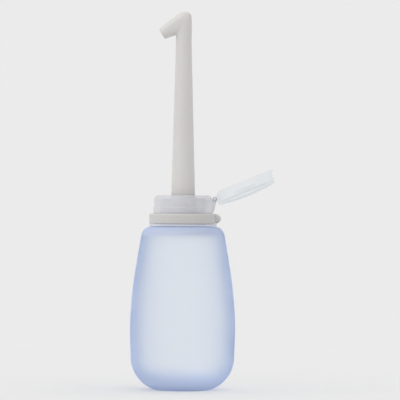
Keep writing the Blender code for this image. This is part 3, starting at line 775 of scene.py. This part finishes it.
def make_neck_ring(surface):
    """The threaded ring that clips into the bottle's mouth."""
    low = BOTTLE_TOP + RING_FLANGE[0]
    high = BOTTLE_TOP + RING_FLANGE[1]
    barb = BOTTLE_TOP - RING_BARB_DROP
    seat_r = GASKET_HIGH.x + SEAT_WIDTH
    seat_z = GASKET_LOW.z - SEAT_DROP
    small = RING_EDGE
    profile = rounded(
        [
            (RING_BARREL_R, RING_TOP, small),
            (RING_BARREL_R, high, small),
            (RING_R, high, RING_FLANGE_ROUND),
            (RING_R, low, small),
            (RING_SPIGOT_R, low, small),
            (RING_SPIGOT_R, barb, small),
            (RING_BARB_R, barb, small),
            (RING_BARB_R, barb - RING_BARB_DEPTH, small),
            (RING_SPIGOT_R - small, RING_BOTTOM, small),
            (RING_BORE_R, RING_BOTTOM, small),
            (RING_BORE_R, seat_z, small),
            (seat_r, seat_z, 0),
            (seat_r, RING_TOP, small),
        ],
        closed=True,
    )
    ring = lets_light_in(lathe("threaded_neck", profile, closed=True))
    carve(ring, thread_bead("neck_thread", RING_BARREL_R), "UNION")
    return finished(ring, "bottle", "neck_ring", surface)


def make_gasket(surface):
    """The washer in the neck ring's seat."""
    outer = GASKET_HIGH.x
    inner = outer - GASKET_WIDTH
    low, high = GASKET_LOW.z, GASKET_HIGH.z
    corners = [(outer, high), (outer, low), (inner, low), (inner, high)]
    profile = rounded([(r, z, GASKET_EDGE) for r, z in corners], closed=True)
    gasket = lathe("neck_washer", profile, closed=True)
    return finished(gasket, "bottle", "neck_gasket", surface)


def make_collar(surface):
    """The screw collar: inside thread, lip over the cap's flange, and thumb lug."""
    low, high = COLLAR_LOW.z, COLLAR_HIGH.z
    chamber_low = high - COLLAR_CHAMBER_DROP[0]
    chamber_high = high - COLLAR_CHAMBER_DROP[1]
    small = COLLAR_INNER_EDGE
    profile = rounded(
        [
            (COLLAR_R, high, COLLAR_TOP_ROUND),
            (COLLAR_R, low, COLLAR_EDGE),
            (COLLAR_THREAD_R, low, COLLAR_EDGE),
            (COLLAR_THREAD_R, chamber_low, small),
            (COLLAR_CHAMBER_R, chamber_low, 0),
            (COLLAR_CHAMBER_R, chamber_high, 0),
            (COLLAR_LIP_R, chamber_high, small),
            (COLLAR_LIP_R, high, small),
        ],
        closed=True,
    )
    collar = lathe("thumb_collar", profile, closed=True)
    carve(collar, thread_bead("collar_thread", COLLAR_THREAD_R, THREAD_LANE), "UNION")
    middle = (low + high) / 2
    half = LUG_WIDTH / 2
    lug_side = [(0, half, 0), (LUG_R, half, LUG_ROUND), (LUG_R, -half, LUG_ROUND), (0, -half, 0)]
    place = along_y((COLLAR_HIGH.x - LUG_R, 0.0, middle))
    lug = lathe("lug", rounded(lug_side), False, SMALL_TURN_STEPS, place)
    upright = Matrix.Translation((0.0, 0.0, middle))
    carve(lug, rod("lug_root", LUG_ROOT_R, 4 * LUG_R, upright, TURN_STEPS))
    carve(collar, lug, "UNION")
    return finished(collar, "collar", "screw_collar", surface)


# Cap and hinge


def make_cap(surface):
    """The cap: flange, skirt, ledge for the lid's rim, nozzle socket and two hinge ears."""
    flange_low = CAP_LOW.z
    flange_high = flange_low + CAP_FLANGE_THICK
    ledge = CAP_TOP - CAP_LEDGE_DROP
    skirt = CAP_TOP - CAP_SKIRT_DROP
    plate = CAP_TOP - CAP_PLATE
    seat = CAP_TOP - SEAT_DEPTH
    socket_low = flange_low + SOCKET_FOOT
    small = CAP_SMALL_EDGE
    profile = rounded(
        [
            (SEAT_R, CAP_TOP, small),
            (CAP_UPPER_R, CAP_TOP, CAP_TOP_ROUND),
            (CAP_UPPER_R, ledge + small, small),
            (CAP_LOWER_R, ledge - small, small),
            (CAP_LOWER_R, skirt, CAP_EDGE),
            (CAP_UPPER_R, skirt, 0),
            (CAP_UPPER_R, flange_high, 0),
            (CAP_FLANGE_R, flange_high, small),
            (CAP_FLANGE_R, flange_low, small),
            (CAP_CAVITY_R, flange_low, small),
            (CAP_CAVITY_R, plate, 3 * small),
            (SOCKET_R + SOCKET_WALL, plate, 2 * small),
            (SOCKET_R + SOCKET_WALL, socket_low, small),
            (SOCKET_R, socket_low, small),
            (SOCKET_R, seat, small),
            (SEAT_R, seat, 0),
        ],
        closed=True,
    )
    cap = lets_light_in(lathe("socket_cap", profile, closed=True))
    top = arc((HINGE.x, HINGE.z), BARREL_R, EAR_TOP_START, 180.0, CIRCLE_STEPS)
    side = [(EAR_FOOT_X, EAR_FOOT_Z), *top, (EAR_ROOT_X, HINGE.z), (EAR_ROOT_X, EAR_FOOT_Z)]
    for way in (1, -1):
        middle = Matrix.Translation((0.0, way * (EAR_INSIDE + EAR_THICK / 2), 0.0))
        carve(cap, prism("ear", side, EAR_THICK / 2, EAR_EDGE, middle), "UNION")
    length = 2 * (EAR_INSIDE + EAR_THICK) + OVERCUT
    carve(cap, rod("ear_hole", PIN_HOLE_R, length, along_y(HINGE), DRILL_STEPS))
    return finished(cap, "cap", "cap_body", surface)


def make_pin(surface):
    """The hinge pin, with a small domed head."""
    half = EAR_INSIDE + EAR_THICK
    head = half + FIT_GAP / 2
    profile = rounded(
        [
            (0, head + PIN_HEAD, 0),
            (PIN_HEAD_R, head + PIN_HEAD, PIN_HEAD_ROUND),
            (PIN_HEAD_R, head, PIN_HEAD_EDGE),
            (PIN_R, head, 0),
            (PIN_R, -half, PIN_EDGE),
            (0, -half, 0),
        ]
    )
    pin = lathe("hinge_pin", profile, False, SMALL_TURN_STEPS, along_y(HINGE))
    return finished(pin, "cap", "lid_hinge_pin", surface)


# Lid


def lid_frame():
    """The lid's frame at rest, with U as its X, W as its Z and the hinge as its origin."""
    return Matrix.Translation(HINGE) @ Matrix.Rotation(-LID_OPEN, 4, "Y")


def dome(crown, edge, edge_radius):
    """A shallow parabolic dome's outline from the axis to its edge."""
    shares = [i / DOME_STEPS for i in range(DOME_STEPS + 1)]
    return [Vector((s * edge_radius, crown + (edge - crown) * s**2)) for s in shares]


def make_lid(surface):
    """The flip lid: a thin domed cup with a thumb tab, a hinge barrel and a liner ledge."""
    inner_r = LID_R - LID_WALL
    inside = dome(LID_CROWN_W + LID_PLATE, LID_EDGE_W + LID_PLATE, LINER_LEDGE_R)
    corner = (LID_R - LID_EDGE_ROUND, LID_EDGE_W + LID_EDGE_ROUND)
    side = arc(corner, LID_EDGE_ROUND, 0.0, LID_EDGE_END, LID_EDGE_STEPS)
    outside = dome(LID_CROWN_W, side[-1].y, side[-1].x)
    small = LID_INNER_EDGE
    wall = rounded(
        [
            (*inside[-1], 0),
            (LINER_LEDGE_R, LINER_LEDGE_W, small),
            (inner_r, LINER_LEDGE_W, small),
            (inner_r, LID_RIM_W, LID_RIM_ROUND),
            (LID_R, LID_RIM_W, LID_RIM_ROUND),
            (*side[0], 0),
        ]
    )
    profile = [*inside[:-1], *wall[:-1], *side[:-1], *reversed(outside)]
    place = lid_frame()
    centre = place @ Matrix.Translation((HINGE.x, 0.0, 0.0))
    lid = lets_light_in(lathe("clear_lid", profile, matrix=centre))

    slope = (LID_RIM_W - RIM_CUT_START) / RIM_CUT_LENGTH
    slant = [
        (-OVERCUT, RIM_CUT_START - slope * OVERCUT),
        (RIM_CUT_LENGTH, LID_RIM_W),
        (RIM_CUT_LENGTH, LID_RIM_W + OVERCUT),
        (-OVERCUT, LID_RIM_W + OVERCUT),
    ]
    carve(lid, prism("rim_cut", slant, LID_R, 0.0, place))
    axis = place @ along_y((0.0, 0.0, 0.0))
    barrel_length = 2 * BARREL_HALF + OVERCUT
    carve(lid, rod("barrel", BARREL_R, barrel_length, axis), "UNION")
    pocket_high = EAR_INSIDE + EAR_THICK + PIN_HEAD + 2 * FIT_GAP
    pocket_length = pocket_high - BARREL_HALF
    for way in (1, -1):
        middle = place @ along_y((0.0, way * (BARREL_HALF + pocket_length / 2), 0.0))
        carve(lid, rod("pocket", BARREL_R + FIT_GAP, pocket_length, middle))
    carve(lid, rod("hole", PIN_HOLE_R, barrel_length, axis, DRILL_STEPS))

    top = LID_RIM_W - TAB_DROP
    root = LID_R - 2 * LID_WALL
    outline = [
        (root, top - TAB_THICK),
        (LID_R + TAB_REACH, top - TAB_THICK / 2),
        (LID_R + TAB_REACH, top),
        (root, top),
    ]
    tab = prism("tab", outline, TAB_WIDTH / 2, TAB_EDGE, centre)
    carve(tab, rod("tab_root", LID_R - LID_WALL / 2, 4 * LID_RIM_W, centre, TURN_STEPS))
    carve(lid, tab, "UNION")
    return finished(lid, "lid", "flip_lid", surface)


def make_liner(surface):
    """The soft liner disc in the lid, with the stopper for the nozzle's socket."""
    back, front = LINER_W
    profile = rounded(
        [
            (0.0, STOPPER_W, 0),
            (STOPPER_R, STOPPER_W, STOPPER_ROUND),
            (STOPPER_R, front, LINER_EDGE),
            (LINER_R, front, LINER_EDGE),
            (LINER_R, back, LINER_BACK_EDGE),
            (0.0, back, 0),
        ]
    )
    centre = lid_frame() @ Matrix.Translation((HINGE.x, 0.0, 0.0))
    liner = lets_light_in(lathe("lid_liner", profile, matrix=centre))
    return finished(liner, "lid", "lid_seal", surface)


# Nozzle


def seam_turns():
    """Angles round a section, with more of them beside the mould's parting lines."""
    even = [2 * math.pi * i / NOZZLE_SIDES for i in range(NOZZLE_SIDES)]
    extra = [line + way * gap for line in (0.0, math.pi) for gap in SEAM_SPREAD for way in (1, -1)]
    return sorted(turn % (2 * math.pi) for turn in even + extra)


SEAM_TURNS = seam_turns()


def section_ring(section, shrink=0.0, shift=(0.0, 0.0, 0.0), seam=SEAM_HEIGHT):
    """A superellipse between two edge points in the X-Z plane, with a raised parting line."""
    low_x, low_z, high_x, high_z, half_width, squareness = section
    low = Vector((low_x, 0.0, low_z))
    high = Vector((high_x, 0.0, high_z))
    centre = (low + high) / 2 + Vector(shift)
    reach = (high - low) / 2
    long_share = 1 - shrink / reach.length
    wide = half_width - shrink
    ring = []
    for turn in SEAM_TURNS:
        across = math.copysign(abs(math.cos(turn)) ** (2 / squareness), math.cos(turn))
        aside = math.copysign(abs(math.sin(turn)) ** (2 / squareness), math.sin(turn))
        from_line = abs(math.sin(turn))
        rise = seam if from_line < (SEAM_SPREAD[0] + SEAM_SPREAD[1]) / 2 else 0.0
        out = reach * (long_share * across + math.copysign(rise, across) / reach.length)
        ring.append(centre + out + Vector((0.0, wide * aside, 0.0)))
    return ring


def round_section(radius, height):
    """A round section of the stem, level and centred on the axis."""
    return (-radius, height, radius, height, radius, 2.0)


def tip_frame():
    """A frame in the middle of the tip's flat end, with Z pointing out along the jet."""
    inside_edge, outside_edge = HEAD_SECTIONS[-1][:2]
    low = Vector((inside_edge[0], 0.0, inside_edge[1]))
    high = Vector((outside_edge[0], 0.0, outside_edge[1]))
    side = Vector((0.0, 1.0, 0.0))
    out = (high - low).normalized().cross(side).normalized()
    if out.x > 0:
        out = -out
    turn = Matrix((side.cross(out), side, out)).transposed().to_4x4()
    return Matrix.Translation((low + high) / 2) @ turn


def make_nozzle(surface):
    """The nozzle: plug with a groove, tapered stem and hooked head, with one passage through."""
    groove_low, groove_high = GROOVE_Z
    plug = rounded(
        [
            (PLUG_R - PLUG_ROUND, NOZZLE_LOW.z, 0),
            (PLUG_R, NOZZLE_LOW.z + PLUG_ROUND, PLUG_ROUND / 2),
            (PLUG_R, groove_low, GROOVE_EDGE),
            (GROOVE_R, groove_low, GROOVE_EDGE),
            (GROOVE_R, groove_high, GROOVE_EDGE),
            (PLUG_R, groove_high, GROOVE_EDGE),
            (PLUG_R, STEM_FOOT_Z, 0),
        ]
    )
    rings = [section_ring(round_section(*point), seam=0.0) for point in plug]
    for lift, back in STEM_FOOT_ROUND:
        foot = round_section(STEM_FOOT_R - back, STEM_FOOT_Z + lift)
        rings.append(section_ring(foot, seam=0.0))
    stem = []
    for i in range(1, STEM_RINGS + 1):
        share = i / STEM_RINGS
        radius = STEM_FOOT_R + (STEM_TOP_R - STEM_FOOT_R) * share
        stem.append(round_section(radius, STEM_FOOT_Z + (STEM_TOP_Z - STEM_FOOT_Z) * share))
    rings += [section_ring(section) for section in stem[:-1]]

    head = [(*inside, *outside, wide, square) for inside, outside, wide, square in HEAD_SECTIONS]
    below = round_section(STEM_TOP_R, 2 * STEM_TOP_Z - head[0][1])
    beyond = tuple(2 * a - b for a, b in zip(head[-1], head[-2]))
    guide = [Vector(section) for section in (below, stem[-1], *head, beyond)]
    rings += [section_ring(section) for section in smooth_through(guide, HEAD_STEPS)[:-1]]

    tip = tip_frame()
    out = tip.to_3x3() @ Vector((0.0, 0.0, 1.0))
    for k in range(TIP_STEPS + 1):
        turn = math.pi / 2 * k / TIP_STEPS
        shrink = TIP_ROUND * (1 - math.cos(turn))
        shift = out * TIP_ROUND * (math.sin(turn) - 1)
        rings.append(section_ring(head[-1], shrink, shift, 0.0))
    nozzle = loft("spray_nozzle", rings)

    bend = [Vector((x, 0.0, z)) for x, z in BORE_BEND]
    start = Vector((0.0, 0.0, NOZZLE_LOW.z - OVERCUT))
    points = [start, Vector((0.0, 0.0, STEM_TOP_Z)), *bend, tip @ Vector((0.0, 0.0, OVERCUT))]
    radii = [BORE_FOOT_R, BORE_TOP_R] + [BORE_TOP_R] * len(bend) + [BORE_TIP_R]
    carve(nozzle, sweep("passage", points, radii, BORE_SIDES, Vector((0.0, 1.0, 0.0))))
    middle = tip @ Matrix.Translation((0.0, 0.0, (OVERCUT - PLATE_POCKET) / 2))
    carve(nozzle, rod("plate_pocket", PLATE_POCKET_R, PLATE_POCKET + OVERCUT, middle))
    return finished(nozzle, "nozzle", "nozzle_tube", surface)


def make_spray_plate(surface):
    """The plate in the nozzle's tip, with a ring of small holes round a middle one."""
    half = PLATE_THICK / 2
    place = tip_frame() @ Matrix.Translation((0.0, 0.0, -half))
    edge = [(PLATE_R, half, PLATE_EDGE), (PLATE_R, -half, PLATE_EDGE)]
    corners = [(0, half, 0), *edge, (0, -half, 0)]
    plate = lathe("rose_plate", rounded(corners), False, SMALL_TURN_STEPS, place)
    spots = [(0.0, 0.0)]
    for i in range(SPRAY_HOLES):
        turn = 2 * math.pi * i / SPRAY_HOLES
        spots.append((SPRAY_RING_R * math.cos(turn), SPRAY_RING_R * math.sin(turn)))
    for x, y in spots:
        drill = place @ Matrix.Translation((x, y, 0.0))
        carve(plate, rod("drill", SPRAY_HOLE_R, PLATE_THICK + OVERCUT, drill, DRILL_STEPS))
    return finished(plate, "nozzle", "spray_plate", surface)


def make_o_ring(surface):
    """The O-ring in the plug's groove."""
    middle = (O_RING_LOW.z + O_RING_HIGH.z) / 2
    section = (O_RING_HIGH.z - O_RING_LOW.z) / 2
    profile = arc((O_RING_HIGH.x - section, middle), section, 0.0, 360.0, CIRCLE_STEPS)[:-1]
    ring = lathe("plug_o_ring", profile, closed=True)
    return finished(ring, "nozzle_seal", "nozzle_o_ring", surface)


# Studio


def make_studio():
    """A pale floor that meets an equally bright studio, and one soft key light."""
    world = bpy.data.worlds.new("studio")
    bpy.context.scene.world = world
    world.use_nodes = True
    background = world.node_tree.nodes["Background"]
    background.inputs["Color"].default_value = (*STUDIO_TINT, 1.0)
    background.inputs["Strength"].default_value = STUDIO_LEVEL

    data = bpy.data.lights.new("key", "SUN")
    data.energy = KEY_STRENGTH
    data.angle = KEY_SPREAD
    key = bpy.data.objects.new("key", data)
    key.rotation_euler = (math.pi / 2 - KEY_ELEVATION, 0.0, KEY_AZIMUTH)
    key.visible_transmission = False
    bpy.context.scene.collection.objects.link(key)

    from_key = KEY_STRENGTH * math.sin(KEY_ELEVATION) / math.pi
    albedo = STUDIO_LEVEL / (STUDIO_LEVEL + from_key)
    shape = bmesh.new()
    steps = {"x_segments": FLOOR_STEPS, "y_segments": FLOOR_STEPS}
    bmesh.ops.create_grid(shape, size=FLOOR_HALF, **steps)
    floor = make_object("studio_floor", shape)
    floor.data.materials.append(floor_paper(albedo))


def make_camera():
    """A long lens from far in front, level, at the middle of the object's height."""
    data = bpy.data.cameras.new("camera")
    data.lens = CAMERA_LENS
    data.clip_end = 4 * FLOOR_HALF
    camera = bpy.data.objects.new("camera", data)
    camera.location = (CAMERA_X, -CAMERA_DISTANCE, CAMERA_Z)
    camera.rotation_euler = (math.pi / 2, CAMERA_ROLL, 0.0)
    bpy.context.scene.collection.objects.link(camera)
    bpy.context.scene.camera = camera


# Making


bpy.context.scene.view_settings.view_transform = "Standard"
make_studio()
make_camera()

NOZZLE_WHITE = off_white("nozzle_white", (0.655, 0.64, 0.625), (0.625, 0.61, 0.595), 0.4 * MM)
# The collar's copy of this plastic is darker than the nozzle's: painted shade for the shade that
# falls on the collar
COLLAR_WHITE_PAINTED_SHADE = off_white("collar_white_painted_shade", (0.58, 0.57, 0.56), (0.55, 0.54, 0.53), 0.35 * MM)
SOFT_WHITE = soft_white()
make_bottle(frosted_blue())
make_neck_ring(ring_white_painted_blue())
make_gasket(SOFT_WHITE)
make_collar(COLLAR_WHITE_PAINTED_SHADE)
make_cap(milky_cap())
CLEAR = clear_lid()
make_pin(CLEAR)
make_lid(CLEAR)
make_liner(clear_silicone())
make_nozzle(NOZZLE_WHITE)
make_spray_plate(NOZZLE_WHITE)
make_o_ring(SOFT_WHITE)
